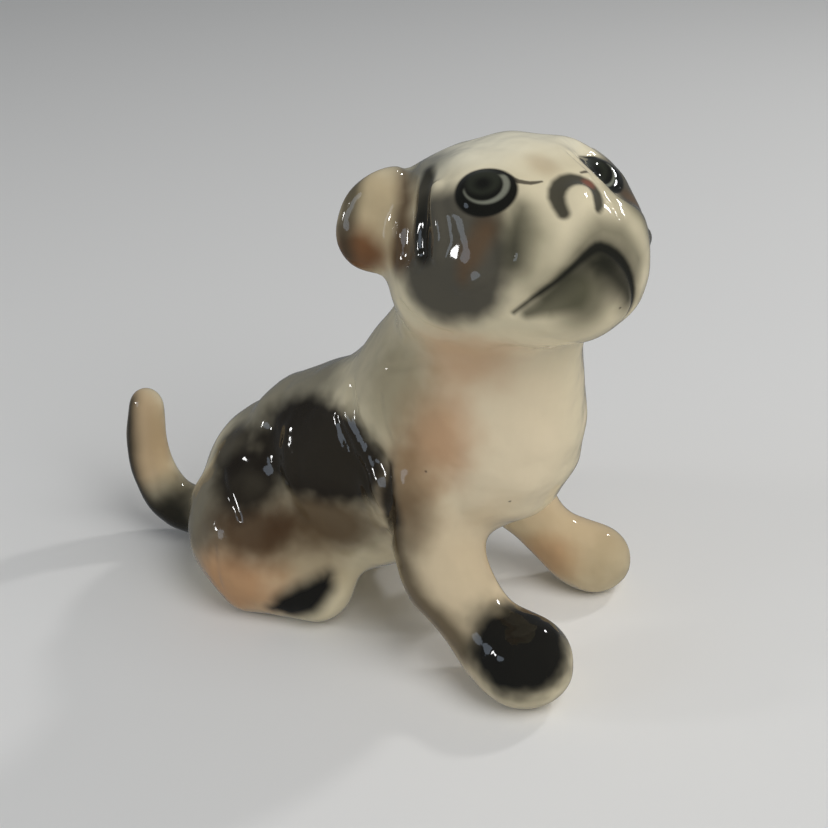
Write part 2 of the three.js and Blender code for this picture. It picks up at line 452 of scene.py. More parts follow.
# %% [markdown]
# ## The face
# A pup's face is all cheeks. The jowls hang over a mouth that is a single drawn groove, the chin sits
# back under them, and the eyes are flat almonds raised a hair above the skin so that the glaze pools
# round them.

# %% Jowls, mouth and chin
MOUTH = [
    (-9.2, -12.6, -9.2, 0.2), (-7.9, -14.9, -7.8, 0.28), (-5.7, -16.7, -6.4, 0.34), (-3.4, -17.6, -5, 0.4),
    (-1.3, -17.9, -4, 0.55), (0.0, -18.0, -3.9, 0.65), (1.5, -18, -5, 0.65), (2.9, -17.6, -6.9, 0.6),
    (3.7, -16.6, -9.4, 0.45), (4, -14.6, -12, 0.25),
]
WIDER = (0, 0, 0, 0.2)  # the groove is a little wider than the line that is painted in it
groove(curve(face(MOUTH), 3) + WIDER, 0.42)
swell(face((0, -17.6, -9.2)), (5.5, 4, 4.8), -0.4)  # chin, set back
for side in SIDES:
    swell(face((-6.5, -15, -3.4), side), (6, 5, 5), 0.45)  # jowl
    swell(face((-12.2, -10, -4.4), side), (4.5, 5, 4), 0.4)  # cheek
wipe(face((0, -3, 9)), (12, 11, 6), 1.8)  # crown
swell(face((7.6, -8.8, 5)), (5.5, 5, 5.5), -1.3)  # left brow, pressed back
swell(face((8.6, -12, 2.2)), (5, 5, 5), -1.2)  # and the cheek under it
swell(face((0, 1, 10)), (10, 11, 5), -0.35)  # crown
swell(face((0, -15.4, 1.8)), (4.2, 3.5, 3.6), 0.5)  # nose
NOSE = [
    (-2.7, -15.6, 0.3, 0.8), (-2.4, -14.4, 2, 1.0), (-1.0, -13.6, 3.1, 1.15), (0.9, -13.4, 3.3, 1.15),
    (2.3, -13.9, 2.7, 1.0), (2.6, -14.8, 1.7, 0.9), (1.9, -15.8, 0.6, 0.8), (1.3, -16.4, 0, 0.5),
]
groove(curve(face(NOSE), 2), 0.15)
print("mouth and nose drawn")

# %% Eyes, cheek folds and ears
EYE_CENTRE = np.array([-8.4, -9.6, 5.0])
EYE_ACROSS = np.array([0.785, -0.62, -0.015])  # from the outer corner to the tear corner
EYE_UP = np.array([0.442, 0.543, 0.712])
EYE_OUT = np.cross(EYE_ACROSS, EYE_UP)
EYE_AXES = np.stack([EYE_ACROSS, EYE_UP, EYE_OUT], 1)


def on_eye(across, up):
    """A place on the plane of the eye, from its centre along its two axes."""
    return EYE_CENTRE + across * EYE_ACROSS + up * EYE_UP


TEAR_LINE = [
    (-5.7, -10.7, 5.1, 0.34), (-5.1, -11.6, 4.4, 0.3), (-4.1, -12.3, 4.0, 0.27), (-2.7, -12.6, 4.0, 0.15),
]
EAR_CREASE = [(-8.6, 4.8, 8.4, 0.8), (-11.2, 2.0, 6.0, 1.1), (-13, -0.3, 3.1, 1.2), (-14.4, -0.3, -1.8, 1.0)]
CHEEK_BAND = [(-10.3, -1.5, 6.7, 0.8), (-12.3, -3.4, 2.6, 1.1), (-13.6, -3.4, -0.8, 0.7)]
CHEEK_RIDGE = [(-10.7, -4.2, 5, 0.7), (-12.1, -6.2, 0.8, 0.9), (-13.2, -6, -2.2, 0.7)]
SMALL_FOLD = [(-14.2, -0.9, -0.4, 0.4), (-14.5, -2.3, -3.3, 0.5), (-13.8, -3.9, -1.7, 0.4)]
MUZZLE_FOLD = [(-7.6, -12.7, 1.4, 0.4), (-8.3, -13.4, -0.8, 0.7), (-9, -13.9, -3.1, 0.4)]
CHEEK_FOLD = [(-13.4, -8.6, -6, 0.5), (-12.2, -10.6, -5.3, 0.8), (-10.6, -12.6, -4.4, 0.5)]
JAW_CREASE = [(-14, 1.8, -7.4, 0.6), (-13.6, -0.6, -9.6, 0.9), (-12.5, -3.6, -11.4, 0.6)]
EYE_CREASE = [
    (-4.2, -9.8, 6.6, 0.3), (-4.3, -11.6, 4.5, 0.45), (-4.3, -14.4, 1.4, 0.5), (-3.8, -16.4, -1.3, 0.3),
]
FACE_FOLDS = [
    (EAR_CREASE, 0.9), (CHEEK_BAND, 0.5), (CHEEK_RIDGE, -0.65), (SMALL_FOLD, 0.35),
    (MUZZLE_FOLD, 0.25), (CHEEK_FOLD, -0.35), (JAW_CREASE, 0.4),
]
LID = [
    (*on_eye(3.6 * math.cos(angle) + 0.25, 3.2 * math.sin(angle) - 0.85), 0.5)
    for angle in np.arange(13) * math.pi / 6
]  # an oval round the eye
for side in SIDES:
    eye_axes = HEAD_AXES @ np.diag([side, 1, 1]) @ EYE_AXES
    swell(face(on_eye(0, -0.4), side), (4.4, 4.0, 3), 0.12, eye_axes)
    groove(curve(face(LID, side), 2), 0.16)
    for line, depth in FACE_FOLDS:
        groove(curve(face(line, side), 3), depth)
    swell(face((-16.5, 5.5, 3.5), side), (4.5, 4, 4.5), -0.5)  # the dish of the ear
groove(curve(face(EYE_CREASE, -1), 3), 0.4)  # only the left eye has it, where the head turns away
print("eyes, folds and ears modelled")

# %% [markdown]
# ## The hand, and the cut at the table
# Clay that was smoothed by hand is nowhere quite even. A few faint waves in random directions do that
# here, and it is the reflections that show them. Then the feet are cut flat, and a vent is bored under
# the belly as a cylinder taken from the field: a closed hollow would burst in the kiln.

# %% The unevenness of a hand
WAVES = 14
WAVE_HEIGHT = 0.02  # mm, each
maker = np.random.default_rng(7)
for _ in range(WAVES):
    heading = maker.normal(size=3)
    heading *= 2 * math.pi / maker.uniform(4, 9) / np.linalg.norm(heading)
    rows = [(np.arange(count) + first) * FINE * k for count, first, k in zip(figure.shape, FINE_LOW, heading)]
    wave = np.sin(rows[0][:, None, None] + rows[1][:, None] + rows[2] + maker.uniform(0, 6))
    figure += (WAVE_HEIGHT * wave).astype(np.float32)
print(WAVES, "waves of", WAVE_HEIGHT, "mm")

# %% Standing flat, and the firing vent
VENT_RADIUS = 1.3
VENT_TOP = 9.5  # it ends inside the belly, since the hollow above is filled here
VENT_BEHIND_CHEST = 23.4
VENT_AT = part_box("torso")[0].y / MM + VENT_BEHIND_CHEST
heights = (FINE_LOW[2] + np.arange(figure.shape[2])) * FINE
figure = np.maximum(figure, -heights.astype(np.float32))
reach_x = (FINE_LOW[0] + np.arange(figure.shape[0]))[:, None, None] * FINE - MIDDLE
reach_y = (FINE_LOW[1] + np.arange(figure.shape[1]))[None, :, None] * FINE - VENT_AT
hole = np.maximum(np.hypot(reach_x, reach_y) - VENT_RADIUS, heights - VENT_TOP)
figure = np.maximum(figure, -hole.astype(np.float32))
print("feet cut flat at the table, and a vent at y", round(VENT_AT, 2))

# %% [markdown]
# ## A skin on the clay
# OpenVDB draws a quad mesh where the field is zero. Its corners lie close to the surface, and two steps
# along the field's slope put them on it. The slope also gives each corner's normal. Blender would guess
# normals from the faces, but under a mirror-like glaze the field's own slope gives cleaner reflections.


# %% From a field to a mesh
def surface(field, low, spacing):
    """Corner points in mm and quads, where the field is zero."""
    grid = openvdb.FloatGrid(float(field.max()))
    grid.copyFromArray(np.ascontiguousarray(field, np.float32), ijk=tuple(int(n) for n in low))
    grid.transform = openvdb.createLinearTransform(voxelSize=spacing)
    points, quads = grid.convertToQuads(isovalue=0)
    return points.astype(float), quads.astype(np.int32)


def mesh_object(name, points, faces):
    """A Blender object, in metres, from points in mm."""
    mesh = bpy.data.meshes.new(name)
    mesh.from_pydata(points * MM, [], faces.tolist())
    obj = bpy.data.objects.new(name, mesh)
    bpy.context.scene.collection.objects.link(obj)
    return obj


points, quads = surface(figure, FINE_LOW, FINE)
for _ in range(2):
    points = points - slope(figure, points) * at(figure, points)[:, None]
skin = mesh_object("skin", points, quads)
print("skin:", len(points), "corners,", len(quads), "quads")

# %% [markdown]
# ## Parting the skin at the joins
# The figure has to stay nine pieces. A knife that follows the middle between two pieces parts them: each
# cutter is the space that lies nearer to one piece than to any other. Blender's manifold boolean gives
# both sides of a cut the same edge, so no seam opens between them. The seam can't be seen, since both
# sides keep the normals of the one skin.

# %% Who owns the filled hollow
heights = (GRID_LOW[2] + np.arange(GRID_SHAPE[2])) * COARSE
in_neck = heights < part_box("torso")[1].z / MM
lump["torso"] = np.where(dry & in_neck, -DEEP, lump["torso"])
lump["head"] = np.where(dry & ~in_neck, -DEEP, lump["head"])

# %% Cut the pieces off one by one
REACH = 3.5  # mm that a cutter stands out from its piece


def knife(name):
    """A closed mesh round everything that is nearest to one piece."""
    others = np.minimum.reduce([lump[n] for n in lump if n != name])
    field = np.maximum((lump[name] - others) / 2, lump[name] - REACH)
    cutter_points, cutter_quads = surface(field, GRID_LOW, COARSE)
    return mesh_object("knife", cutter_points, cutter_quads)


def cut(obj, cutter, operation):
    """The mesh that is left of obj after a boolean with the cutter."""
    boolean = obj.modifiers.new("cut", "BOOLEAN")
    boolean.solver = "MANIFOLD"
    boolean.operation = operation
    boolean.object = cutter
    bpy.context.view_layer.update()
    result = bpy.data.meshes.new_from_object(obj.evaluated_get(bpy.context.evaluated_depsgraph_get()))
    obj.modifiers.remove(boolean)
    return result


ORDER = [
    "tail", "right_ear", "left_ear",
    "right_foreleg", "left_foreleg", "right_hind_leg", "left_hind_leg", "head",
]
pieces = {}
for name in ORDER:
    cutter = knife(name)
    part = cut(skin, cutter, "INTERSECT")
    skin.data = cut(skin, cutter, "DIFFERENCE")
    pieces[name] = bpy.data.objects.new("glazed_" + name, part)
    bpy.context.scene.collection.objects.link(pieces[name])
    bpy.data.objects.remove(cutter)
    print(name, len(part.polygons), "faces")
skin.name = "glazed_torso"
pieces["torso"] = skin
print("torso", len(skin.data.polygons), "faces")


# %% Normals from the one skin
OFF_SKIN = 0.25 * FINE  # a face whose middle is further than this from the skin belongs to a cut


def glaze_normals(obj):
    """Gives a piece the field's normals, except on the faces of a cut."""
    mesh = obj.data
    corner = np.empty(len(mesh.vertices) * 3)
    mesh.vertices.foreach_get("co", corner)
    corner = corner.reshape(-1, 3) / MM
    out = slope(figure, corner)
    centres = np.empty(len(mesh.polygons) * 3)
    mesh.polygons.foreach_get("center", centres)
    flat = np.empty(len(mesh.polygons) * 3)
    mesh.polygons.foreach_get("normal", flat)
    totals = np.empty(len(mesh.polygons), int)
    mesh.polygons.foreach_get("loop_total", totals)
    is_cut = np.abs(at(figure, centres.reshape(-1, 3) / MM)) > OFF_SKIN
    vertex = np.empty(len(mesh.loops), int)
    mesh.loops.foreach_get("vertex_index", vertex)
    owner = np.repeat(np.arange(len(totals)), totals)
    normals = np.where(is_cut[owner, None], flat.reshape(-1, 3)[owner], out[vertex])
    mesh.shade_smooth()
    mesh.normals_split_custom_set(normals)


for obj in pieces.values():
    glaze_normals(obj)
print("normals set on", len(pieces), "pieces")

# %% [markdown]
# ## Paint
# The decorator works on the dry clay with two tools. An airbrush lays the haze on the cheeks, the saddle,
# the haunches and the paws, and a pointed brush draws the eyes, the nose and the mouth. Each tool is a
# node group here, and each touch is one copy of it with a place, a size and a colour of its own. The
# touches are placed in the figure's own millimetres, so they run across a join as real paint does.


# %% Helpers for node trees
def put(tree, kind, inputs=(), **settings):
    """Adds a shader node. Each input gets a value, or a link if it is given another node's output."""
    new = tree.nodes.new("ShaderNode" + kind)
    for name, value in settings.items():
        setattr(new, name, value)
    for name, value in dict(inputs).items():
        if isinstance(value, bpy.types.NodeSocket):
            tree.links.new(value, new.inputs[name])
        else:
            new.inputs[name].default_value = value
    return new


def maths(tree, operation, *values):
    """The result of a Math node."""
    return put(tree, "Math", dict(enumerate(values)), operation=operation).outputs[0]


def vectors(tree, operation, *values):
    """The result of a Vector Math node: a number for products and lengths, otherwise a vector."""
    new = put(tree, "VectorMath", dict(enumerate(values)), operation=operation)
    return new.outputs["Value" if operation in ("DOT_PRODUCT", "LENGTH", "DISTANCE") else "Vector"]


def blended(tree, mask, under, over):
    """The colour under, with the colour over where the mask is 1."""
    return put(tree, "Mix", {0: mask, 6: under, 7: over}, data_type="RGBA").outputs[2]


def faded(tree, value, start, end, low=0.0, high=1.0):
    """Low up to start, high from end on, and a smooth step between them."""
    limits = {"Value": value, "From Min": start, "From Max": end, "To Min": low, "To Max": high}
    return put(tree, "MapRange", limits, interpolation_type="SMOOTHSTEP").outputs[0]


def new_group(name, inputs, outputs):
    """An empty node group. Inputs and outputs are given as 'Vector Place, Float Edge'."""
    group = bpy.data.node_groups.new(name, "ShaderNodeTree")
    for listed, way in ((inputs, "INPUT"), (outputs, "OUTPUT")):
        for entry in filter(None, listed.split(", ")):
            kind, label = entry.split(" ", 1)
            group.interface.new_socket(label, in_out=way, socket_type="NodeSocket" + kind)
    return group, group.nodes.new("NodeGroupInput").outputs, group.nodes.new("NodeGroupOutput").inputs


def ink(red, green, blue):
    """A colour as a painter's chart gives it, from 0 to 255, made linear for the shader."""
    return tuple((((c / 255) + 0.055) / 1.055) ** 2.4 for c in (red, green, blue)) + (1.0,)


# %% Places on the body and on the head, in mm
PLACES, _, given = new_group(
    "puppy places", "", "Vector Body, Vector Both Flanks, Vector Head, Vector Both Cheeks, Float Wander"
)
tree = PLACES
metres = put(tree, "TexCoord").outputs["Object"]
on_body = vectors(tree, "MULTIPLY", metres, (1 / MM, 1 / MM, 1 / MM))
turned = {"Vector": on_body, "Location": HEAD_CENTRE, "Rotation": (HEAD_TILT, 0, HEAD_TURN)}
on_head = put(tree, "Mapping", turned, vector_type="TEXTURE").outputs[0]


def folded_over(tree, place, middle):
    """The place with its left half laid over the right, so that one touch paints both sides."""
    split = put(tree, "SeparateXYZ", {0: place}).outputs
    off = maths(tree, "ABSOLUTE", maths(tree, "SUBTRACT", split[0], middle))
    right = maths(tree, "SUBTRACT", middle, off)
    return put(tree, "CombineXYZ", {0: right, 1: split[1], 2: split[2]}).outputs[0]


cloud = put(tree, "TexNoise", {"Vector": on_body, "Scale": 0.33, "Detail": 1.5, "Roughness": 0.5}).outputs[0]
for label, value in (
    ("Body", on_body),
    ("Both Flanks", folded_over(tree, on_body, MIDDLE)),
    ("Head", on_head),
    ("Both Cheeks", folded_over(tree, on_head, 0.0)),
    ("Wander", maths(tree, "SUBTRACT", cloud, 0.5)),
):
    tree.links.new(value, given[label])
print("places given:", ", ".join(socket.name for socket in given if socket.name))

# %% The airbrush: a soft round cloud of paint
AIRBRUSH, take, given = new_group(
    "airbrush",
    "Vector Place, Vector Centre, Vector Radii, Float Edge, Float Ragged, Float Wander, Float Strength",
    "Float Mask",
)
away = vectors(AIRBRUSH, "LENGTH", vectors(
    AIRBRUSH, "DIVIDE", vectors(AIRBRUSH, "SUBTRACT", take["Place"], take["Centre"]), take["Radii"]
))
away = maths(AIRBRUSH, "MULTIPLY_ADD", take["Wander"], take["Ragged"], away)
inner = maths(AIRBRUSH, "SUBTRACT", 1.0, take["Edge"])
outer = maths(AIRBRUSH, "ADD", 1.0, take["Edge"])
AIRBRUSH.links.new(faded(AIRBRUSH, away, inner, outer, take["Strength"], 0.0), given["Mask"])

# %% The pointed brush: one tapered stretch of a line, and the edge of the whole line
BRUSH, take, given = new_group(
    "brush touch", "Vector Place, Vector From, Vector To, Float Start, Float End, Float So Far", "Float Gap"
)
from_start = vectors(BRUSH, "SUBTRACT", take["Place"], take["From"])
whole = vectors(BRUSH, "SUBTRACT", take["To"], take["From"])
forward = vectors(BRUSH, "DOT_PRODUCT", from_start, whole)
share = maths(BRUSH, "DIVIDE", forward, vectors(BRUSH, "DOT_PRODUCT", whole, whole))
share = put(BRUSH, "Clamp", {0: share}).outputs[0]
reached = put(BRUSH, "VectorMath", {0: whole, "Scale": share}, operation="SCALE").outputs[0]
width = put(BRUSH, "MapRange", {0: share, "To Min": take["Start"], "To Max": take["End"]}).outputs[0]
gap = maths(BRUSH, "SUBTRACT", vectors(BRUSH, "DISTANCE", from_start, reached), width)
BRUSH.links.new(maths(BRUSH, "MINIMUM", gap, take["So Far"]), given["Gap"])

BRUSH_EDGE, take, given = new_group(
    "brush edge", "Float Gap, Float Soft, Float Ragged, Float Wander, Float Strength", "Float Mask"
)
gap = maths(BRUSH_EDGE, "MULTIPLY_ADD", take["Wander"], take["Ragged"], take["Gap"])
start = maths(BRUSH_EDGE, "MULTIPLY", take["Soft"], -1.0)
BRUSH_EDGE.links.new(faded(BRUSH_EDGE, gap, start, take["Soft"], take["Strength"], 0.0), given["Mask"])

# %% The painted eye, on its own flat plane
EYEBALL = (0.24, -0.88, 3.15)  # the circle's middle, along and up the eye, and its radius, in mm
IRIS = (0.1, 0.1, 1.8)
PUPIL = (0.05, -0.3, 0.75)
WHITE = (0.2, -0.45, 2.13)
EYE_DEPTH = (4.0, 5.0)  # mm before and behind its plane, where the eye's paint fades away
EYE, take, given = new_group("painted eye", "Vector Cheek", "Float Mask, Color Color")
from_centre = vectors(EYE, "SUBTRACT", take["Cheek"], EYE_CENTRE)
across = vectors(EYE, "DOT_PRODUCT", from_centre, EYE_ACROSS)
up = vectors(EYE, "DOT_PRODUCT", from_centre, EYE_UP)
deep = maths(EYE, "ABSOLUTE", vectors(EYE, "DOT_PRODUCT", from_centre, EYE_OUT))
flat = put(EYE, "CombineXYZ", {0: maths(EYE, "MULTIPLY", across, 0.9), 1: up}).outputs[0]


def off_circle(x, y, radius):
    """How far outside a circle on the eye's plane a place is, in mm."""
    return maths(EYE, "SUBTRACT", vectors(EYE, "DISTANCE", flat, (x, y, 0)), radius)


eyeball = faded(EYE, off_circle(*EYEBALL), -0.2, 0.28, 1.0, 0.0)
iris = faded(EYE, off_circle(*IRIS), -0.45, 0.35, 1.0, 0.0)
pupil = faded(EYE, off_circle(*PUPIL), -0.5, 0.6, 1.0, 0.0)
ring_width = maths(EYE, "MULTIPLY_ADD", across, 0.05, 0.2)
ring = maths(EYE, "SUBTRACT", maths(EYE, "ABSOLUTE", off_circle(*WHITE)), ring_width)
above = maths(EYE, "SUBTRACT", maths(EYE, "MULTIPLY_ADD", across, -0.33, up), 0.15)
ring = faded(EYE, ring, -0.2, 0.16, 1.0, 0.0)
white = maths(EYE, "MULTIPLY", ring, faded(EYE, above, -0.45, 0.35, 0.85, 0.0))
painted = blended(EYE, iris, ink(22, 22, 17), ink(44, 46, 37))
painted = blended(EYE, pupil, painted, ink(22, 22, 18))
painted = blended(EYE, white, painted, ink(134, 135, 120))
EYE.links.new(maths(EYE, "MULTIPLY", eyeball, faded(EYE, deep, *EYE_DEPTH, 1.0, 0.0)), given["Mask"])
EYE.links.new(painted, given["Color"])
print("tools ready:", ", ".join(group.name for group in bpy.data.node_groups))

# %% [markdown]
# ## The decorator's list
# Every haze is one line: where it is, how far it reaches along each axis, how soft and how ragged its
# edge is, how much paint was laid, and the colour. They are laid in this order, the paler ones first. A
# line is a row of points with half-widths, followed by its softness, raggedness, strength and colour.
# A few hazes are painted light, not paint: the paler chest and crown, part of the rump's grey, and a reddish
# reflection on the nose.

# %% Colours
CREAM = ink(224, 212, 180)
PEACH = ink(186, 128, 80)
TAN = ink(172, 142, 104)
GREY = ink(112, 106, 92)
SLATE = ink(73, 70, 62)
OLIVE = ink(112, 108, 84)
DIM_OLIVE = ink(84, 82, 64)
SADDLE = ink(30, 24, 17)
BLACK = ink(12, 12, 11)
print("cream as the shader takes it:", [round(c, 3) for c in CREAM[:3]])

# %% Hazes: centre, radii, edge, ragged, strength, colour
FLANK_HAZES = [
    # painted light: the chest is made paler where the lamps in front fall on it
    ((-9, -24, 34), (10, 9, 15), 0.6, 0.4, 0.6, ink(240, 221, 190)),  # chest
    ((-12.6, -20.6, 45.5), (5, 6, 4.5), 0.7, 0.5, 0.5, PEACH),  # under the jaw
    ((-13.4, -17, 34.5), (3, 4.8, 6.5), 0.8, 0.6, 0.65, PEACH),  # chest, behind
    ((-13, -22, 12), (8, 12, 12), 0.5, 0.3, 0.6, ink(206, 182, 148)),  # forelegs
    ((-11.6, -10.6, 39), (4, 5.5, 7.5), 0.7, 0.5, 0.6, ink(130, 118, 90)),  # side of the neck
    ((-6, -5, 39), (5, 5, 7), 0.7, 0.4, 0.3, GREY),  # nape
    ((-14, -13, 26.5), (3.5, 4.5, 6), 0.7, 0.4, 0.75, ink(134, 102, 66)),  # shoulder, above
    ((-1, 11, 28), (8, 17, 8.6), 0.3, 0.3, 0.8, ink(126, 121, 105)),  # back
    ((-13.4, 2.6, 11.4), (4.5, 6.5, 5), 0.5, 0.4, 0.65, ink(146, 124, 92)),  # thigh
    ((-17.5, 11.5, 6.4), (5.5, 8, 6), 0.6, 0.4, 0.8, ink(182, 130, 84)),  # haunch
    ((-13.2, -1, 16.8), (4.6, 9.5, 5), 0.5, 0.4, 0.92, ink(84, 64, 40)),  # belly
    # the rump's grey is partly paint and partly a painted reflection of the room behind
    ((-14.2, 18.5, 15), (5.4, 6.5, 8), 0.35, 0.3, 0.85, ink(98, 92, 78)),  # rump
    ((-13.8, 9.6, 13.4), (6, 6.4, 4.4), 0.5, 0.35, 0.92, ink(70, 48, 28)),  # haunch, above
    ((-11.4, 3.6, 26.2), (7.9, 15.3, 7.2), 0.22, 0.3, 0.98, SADDLE),  # saddle
    ((-11.5, 12.5, 18.8), (4.6, 5, 5), 0.35, 0.3, 0.95, SADDLE),
    ((-8, 16.8, 20.6), (4.4, 4.2, 4.4), 0.35, 0.3, 0.9, SADDLE),
    ((-15.2, -14.2, 22.6), (2.6, 3, 5.4), 0.7, 0.4, 0.6, ink(84, 64, 42)),  # shoulder
    ((-4.5, 37, 14), (4, 6, 12), 0.3, 0.3, 0.7, ink(186, 152, 112)),  # tail
    ((-4.5, 30.4, 4.2), (5, 5.4, 5.6), 0.45, 0.2, 0.98, ink(26, 25, 18)),  # root of the tail
]
BODY_HAZES = [
    ((-15.4, -30.2, 9.2), (7.2, 7.2, 6.6), 0.3, 0.4, 0.6, ink(84, 82, 66)),  # right paw
    ((-15.4, -30.4, 8.9), (6.6, 6.4, 5.7), 0.25, 0.4, 0.98, BLACK),
    ((12.5, -32.5, 6.4), (4.5, 3.4, 4), 0.5, 0.7, 0.35, OLIVE),  # left paw
    ((12, -27, 8), (7, 9, 8), 0.5, 0.3, 0.45, ink(190, 164, 124)),  # left foreleg
    ((8, -24, 6), (3, 4, 3.4), 0.6, 0.5, 0.4, PEACH),
]
CHEEK_HAZES = [
    # painted light: the crown is made paler, as if lit from above
    ((-3, 0, 9), (9, 9, 5), 0.6, 0.4, 0.8, ink(250, 244, 220)),  # crown
    ((-8.8, 2.4, 7.6), (3.2, 4.6, 2.8), 0.6, 0.4, 0.75, ink(92, 92, 82)),  # temple
    ((-7.8, -14.4, -1.2), (3.2, 3, 5.2), 0.7, 0.4, 0.65, OLIVE),  # edge of the muzzle
    ((-12.8, -7.3, -2.4), (6.5, 8.1, 7.8), 0.2, 0.2, 0.95, SLATE),  # cheek
    ((-9.8, -11.9, 1.2), (1.9, 1.9, 1.6), 0.5, 0.5, 0.6, ink(72, 60, 46)),  # under the eye
    ((-14.5, 4.6, 2.8), (5.2, 5.2, 6.6), 0.4, 0.4, 0.65, ink(180, 156, 116)),  # ear
    ((-17, 7.4, -1.2), (3.6, 3.8, 3.6), 0.5, 0.4, 0.9, ink(112, 68, 36)),  # tip of the ear
]
HEAD_HAZES = [
    ((-1, -11, 5.8), (1.6, 2.2, 1.8), 0.7, 0.5, 0.35, TAN),  # between the eyes
]
# a painted reflection, not paint of the figurine's own
NOSE_REFLECTION_HAZES = [
    ((2.5, -13.9, 2.7), (0.8, 0.8, 0.7), 0.6, 0.2, 0.65, ink(150, 88, 70)),  # painted reddish reflection on the nose
]
HAZES = (FLANK_HAZES, BODY_HAZES, CHEEK_HAZES, HEAD_HAZES, NOSE_REFLECTION_HAZES)
print("hazes:", [len(hazes) for hazes in HAZES])

# %% Lines: points with half-widths, softness, raggedness, strength and colour
CREASE_SHADE = [
    (-13.8, -10.2, 28.4, 0.6), (-14.6, -11.2, 25, 1.5), (-14.8, -11.6, 22, 1.9), (-14, -11, 19, 1.9),
    (-12, -9.8, 16, 1.0),
]
LEG_SHADE = [
    (-15.2, -12.6, 19, 1.6), (-15.2, -12.6, 16, 2.0), (-16, -15.4, 12.4, 2.2), (-16.4, -19, 9.4, 2.2),
    (-16.4, -22.8, 7, 2.3),
]
FOOT_MARK = [
    (-17, 5.4, 3.2, 0.9), (-16.7, 3.2, 4.2, 2.2), (-15.8, 0.8, 5.8, 2.5), (-14.2, -1.0, 7.6, 1.7),
    (-13.2, -1.4, 9, 0.6),
]
TAIL_SHADE = [
    (-6.4, 30, 2.6, 2.4), (-7.0, 34.4, 5.6, 2.3), (-6.8, 36.6, 9.4, 1.9), (-6.3, 37.2, 13.5, 1.7),
    (-5.7, 37.2, 18, 1.5), (-4.6, 37, 21.4, 1.1),
]
CHEEK_DARK = [
    (-9.6, -0.4, 7.2, 0.9), (-11.2, -2.0, 4.8, 1.7), (-12.7, -3.2, 2.0, 2.0), (-13.6, -3.8, -1.4, 1.6),
]
CHEEK_BROWN = [(-12.6, -9.4, -4.4, 0.8), (-11.6, -10.4, -1.9, 1.5), (-10.2, -11.6, -0.2, 1.2)]
CHEEK_EDGE = [(-6.4, -13.4, 1.6, 0.7), (-8.0, -14.0, -0.8, 1.7), (-9.0, -14.3, -3.6, 1.5)]
EAR_SHADE = [(-9.6, 4.2, 7.8, 0.4), (-12.2, 1.4, 4.4, 1.0), (-13.9, 0.8, 1, 1.4), (-14.6, 1.2, -2.2, 2.0)]
EAR_RIM = [(-13.4, 7.4, 8.2, 0.6), (-15.8, 6.9, 6, 1.3), (-17.3, 7.6, 2.4, 1.4), (-17.4, 8.4, -1.0, 1.0)]
MOUTH_HALO = [
    (-7.2, -15.4, -7.0, 0.2), (-5.2, -16.8, -5.3, 0.5), (-3.3, -17.5, -3.8, 0.8), (-1.4, -17.9, -2.6, 1.2),
    (0.8, -17.8, -2.0, 1.7), (2.9, -17.2, -3.2, 1.7), (4.5, -16.4, -6, 1.2),
]
CHIN_SHADE = [
    (-0.4, -18, -5.0, 0.8), (-1.3, -18, -6.4, 2.0), (-2.2, -17.4, -8.0, 3.0), (-2.8, -16.8, -9.0, 3.2),
]
CHIN_SIDE = [(-8.4, -14.0, -9.5, 0.4), (-6.4, -15.6, -8.7, 1.4), (-4.2, -16.8, -7.8, 2.3)]
MOUTH_SHADE = [
    (-1.6, -18, -5.4, 1.1), (-0.2, -18.1, -5.6, 2.1), (1.2, -18, -6.6, 2.5), (2.3, -17.4, -8.2, 2.3),
    (2.9, -16.6, -10.0, 1.5),
]
MOUTH_INNER = [
    (-8.4, -13.9, -9.3, 0.3), (-6.6, -15.8, -7.9, 0.7), (-4.4, -17, -6.4, 1.0), (-2.2, -17.8, -5.2, 1.3),
    (0, -18.1, -5, 1.6),
]
FLANK_LINES = [
    (CREASE_SHADE, 0.9, 0.6, 0.95, ink(34, 29, 21)),
    (LEG_SHADE, 1.7, 1.0, 0.85, ink(84, 70, 48)),
    (FOOT_MARK, 1.4, 0.5, 0.99, BLACK),
    (TAIL_SHADE, 1.6, 0.3, 0.96, ink(38, 34, 24)),
]
CHEEK_LINES = [
    (CHEEK_DARK, 0.8, 0.4, 0.93, ink(28, 27, 21)),
    (CHEEK_BROWN, 1.2, 0.8, 0.75, ink(102, 80, 58)),
    (CHEEK_EDGE, 1.7, 0.5, 0.75, ink(58, 57, 44)),
    (EAR_SHADE, 1.4, 0.6, 0.9, ink(76, 54, 34)),
    (EAR_RIM, 1.1, 0.6, 0.8, ink(62, 58, 46)),
    (TEAR_LINE, 0.14, 0.2, 0.85, ink(44, 36, 30)),
]
HEAD_LINES = [
    (MOUTH_HALO, 1.9, 0.4, 0.75, ink(80, 78, 60)),
    (CHIN_SHADE, 2.4, 0.3, 0.85, DIM_OLIVE),
    (CHIN_SIDE, 0.9, 0.3, 0.85, DIM_OLIVE),
    (MOUTH_INNER, 1.1, 0.3, 0.75, ink(54, 53, 41)),
    (MOUTH_SHADE, 1.9, 0.3, 0.95, ink(32, 32, 24)),
    (MOUTH, 0.36, 0.2, 0.97, ink(28, 28, 22)),
    (NOSE, 0.42, 0.3, 0.93, ink(42, 41, 33)),
]
print("lines:", [len(lines) for lines in (FLANK_LINES, CHEEK_LINES, HEAD_LINES)])


# %% Laying the paint, touch by touch
# A soft line's corners don't show, so only sharper lines are rounded with more touches. One shader can
# hold only so many of them, and past that the render turns black.
FINE_LINE = 0.5  # mm of softness
FAR_OFF = 99.0  # mm, the gap before the first touch of a line


def touch(tree, under, place, wander, haze):
    """One pass of the airbrush over the colour under it."""
    centre, radii, edge, ragged, strength, colour = haze
    settings = {"Place": place, "Centre": centre, "Radii": radii, "Edge": edge, "Ragged": ragged}
    settings.update({"Wander": wander, "Strength": strength})
    return blended(tree, put(tree, "Group", settings, node_tree=AIRBRUSH).outputs[0], under, colour)


